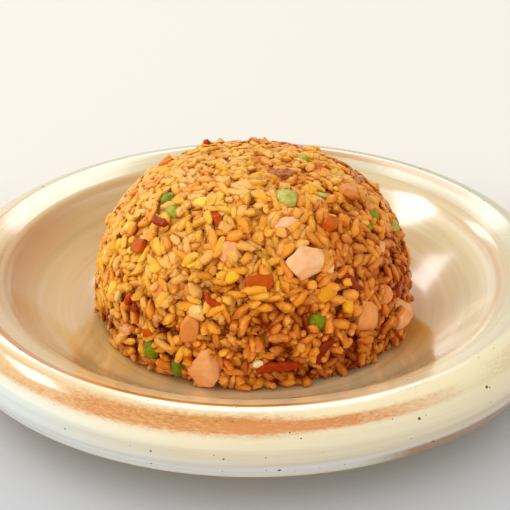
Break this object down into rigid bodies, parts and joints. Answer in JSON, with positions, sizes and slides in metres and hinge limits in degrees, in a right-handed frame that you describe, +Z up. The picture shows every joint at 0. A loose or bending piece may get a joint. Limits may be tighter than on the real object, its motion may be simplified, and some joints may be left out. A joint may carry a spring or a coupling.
{
  "type": "fried rice plate",
  "caption": "Moulded dome of fried rice with peas, sweetcorn, carrot, chilli, chicken, pork and egg, on a round stoneware pasta plate with a rolled rim.",
  "frame": {"origin": "middle of the plate's foot ring, on the table it stands on", "axes": "+Z up, +X to the right and -Y towards the diner, with the largest chunk of chicken at the foot of the dome on the -Y side"},
  "size_m": [0.263, 0.263, 0.0786],
  "materials": {
    "stoneware_glaze": "glossy cream and tan glaze, brushed in rings, breaking rust brown at the lip, with brown specks",
    "fried_rice": "lightly oiled cooked long grains, golden brown",
    "green_pea": "moist, slightly wrinkled skin",
    "sweetcorn": "moist, smooth skin",
    "carrot": "moist cut faces",
    "red_chilli": "moist, dark red skin",
    "cooked_chicken": "moist, fine fibres, stained by the sauce",
    "roast_pork": "moist, browned",
    "egg": "soft, set egg"
  },
  "bodies": {
    "root": {"plate": "stoneware_glaze", "rice_heap": "fried_rice", "pea_01": "green_pea", "pea_02": "green_pea", "pea_03": "green_pea", "pea_04": "green_pea", "pea_05": "green_pea", "pea_06": "green_pea", "pea_07": "green_pea", "pea_08": "green_pea", "pea_09": "green_pea", "pea_10": "green_pea", "pea_11": "green_pea", "pea_12": "green_pea", "pea_13": "green_pea", "corn_01": "sweetcorn", "corn_02": "sweetcorn", "corn_03": "sweetcorn", "corn_04": "sweetcorn", "corn_05": "sweetcorn", "corn_06": "sweetcorn", "corn_07": "sweetcorn", "corn_08": "sweetcorn", "corn_09": "sweetcorn", "corn_10": "sweetcorn", "corn_11": "sweetcorn", "carrot_01": "carrot", "carrot_02": "carrot", "carrot_03": "carrot", "carrot_04": "carrot", "carrot_05": "carrot", "carrot_06": "carrot", "carrot_07": "carrot", "chilli_01": "red_chilli", "chilli_02": "red_chilli", "chilli_03": "red_chilli", "chilli_04": "red_chilli", "chilli_05": "red_chilli", "chilli_06": "red_chilli", "chilli_07": "red_chilli", "chilli_08": "red_chilli", "chicken_01": "cooked_chicken", "chicken_02": "cooked_chicken", "chicken_03": "cooked_chicken", "chicken_04": "cooked_chicken", "chicken_05": "cooked_chicken", "chicken_06": "cooked_chicken", "chicken_07": "cooked_chicken", "chicken_08": "cooked_chicken", "chicken_09": "cooked_chicken", "chicken_10": "cooked_chicken", "chicken_11": "cooked_chicken", "chicken_12": "cooked_chicken", "pork_01": "roast_pork", "pork_02": "roast_pork", "egg_01": "egg", "egg_02": "egg", "egg_03": "egg"}
  },
  "joints": []
}
